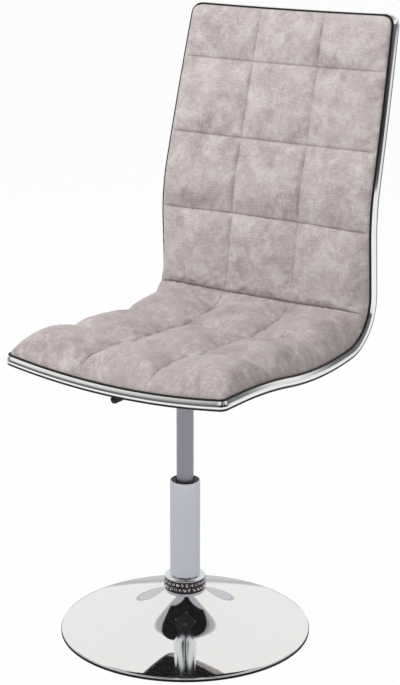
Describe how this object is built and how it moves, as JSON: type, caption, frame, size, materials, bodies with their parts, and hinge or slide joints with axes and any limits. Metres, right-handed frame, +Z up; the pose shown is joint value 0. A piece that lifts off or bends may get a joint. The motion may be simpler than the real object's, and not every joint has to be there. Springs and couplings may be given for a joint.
{
  "type": "swivel dining chair",
  "caption": "Swivel dining chair: quilted fabric seat and high back on a dished one-piece shell with chrome edge trim, on a gas-lift column and round chrome base.",
  "frame": {"origin": "on the floor, on the column's axis, under the middle of the round base", "axes": "+Z up along the column, -Y the way the sitter faces, +X to the sitter's left"},
  "size_m": [0.428, 0.5366, 1.0104],
  "materials": {
    "chrome": "polished chrome plate",
    "satin_silver": "satin silver",
    "bare_steel": "zinc-plated or bright steel",
    "black_steel": "black powder coat",
    "grey_steel": "satin grey coating",
    "black_plastic": "moulded, matt",
    "black_rubber": "matt rubber",
    "clear_stone": "cut, clear",
    "plywood": "moulded birch plywood, bare",
    "seat_fabric": "mottled suede-like microfibre, quilted over foam",
    "black_fabric": "plain black non-woven",
    "black_piping": "black imitation-leather piping"
  },
  "bodies": {
    "base": {"base_disc": "chrome", "base_edge_ring": "black_rubber", "base_weight_plate": "bare_steel", "column_tube": "satin_silver", "tube_floor_plate": "bare_steel", "bearing_lower_washer": "bare_steel", "bearing_rollers": "bare_steel", "bearing_cage": "black_plastic", "guide_bush": "black_plastic", "neck_collar": "chrome", "collar_stones": "clear_stone"},
    "rod": {"piston_rod": "bare_steel", "piston_seal": "black_rubber", "bottom_buffer": "black_rubber", "rod_clip": "bare_steel", "bearing_upper_washer": "bare_steel"},
    "seat": {"gas_cylinder": "grey_steel", "cylinder_gland": "bare_steel", "seat_hub": "black_steel", "mounting_tray": "black_steel", "lever_bracket": "black_steel", "lever_pivot_pin": "bare_steel", "mounting_bolts": "bare_steel", "bolt_spacers": "black_plastic", "tee_nuts": "bare_steel", "seat_shell": "plywood", "underside_cover": "black_fabric", "back_cover": "seat_fabric", "chrome_rim": "chrome", "edge_piping": "black_piping", "seat_pad": "seat_fabric", "back_pad": "seat_fabric"},
    "lever": {"lever_rod": "black_steel", "lever_grip": "black_plastic"},
    "release": {"release_pin": "bare_steel"}
  },
  "joints": [
    {"name": "swivel", "type": "hinge", "parent": "base", "child": "rod", "pos_m": [0, 0, 0.03], "axis": [0, 0, 1], "continuous": true},
    {"name": "lift", "type": "slide", "parent": "rod", "child": "seat", "axis": [0, 0, 1], "range_m": [-0.12, 0]},
    {"name": "lever_pull", "type": "hinge", "parent": "seat", "child": "lever", "pos_m": [-0.02325, -0.01164, 0.4373], "axis": [-0.4478, 0.8942, 0], "range_deg": [0, 8], "stiffness_Nm_per_rad": 4, "springref_deg": -5.73},
    {"name": "release_press", "type": "slide", "parent": "seat", "child": "release", "axis": [0, 0, -1], "range_m": [0, 0.0037]}
  ],
  "couplings": [
    {"joint": "release_press", "follows": "lever_pull", "m_per_rad": 0.026}
  ]
}
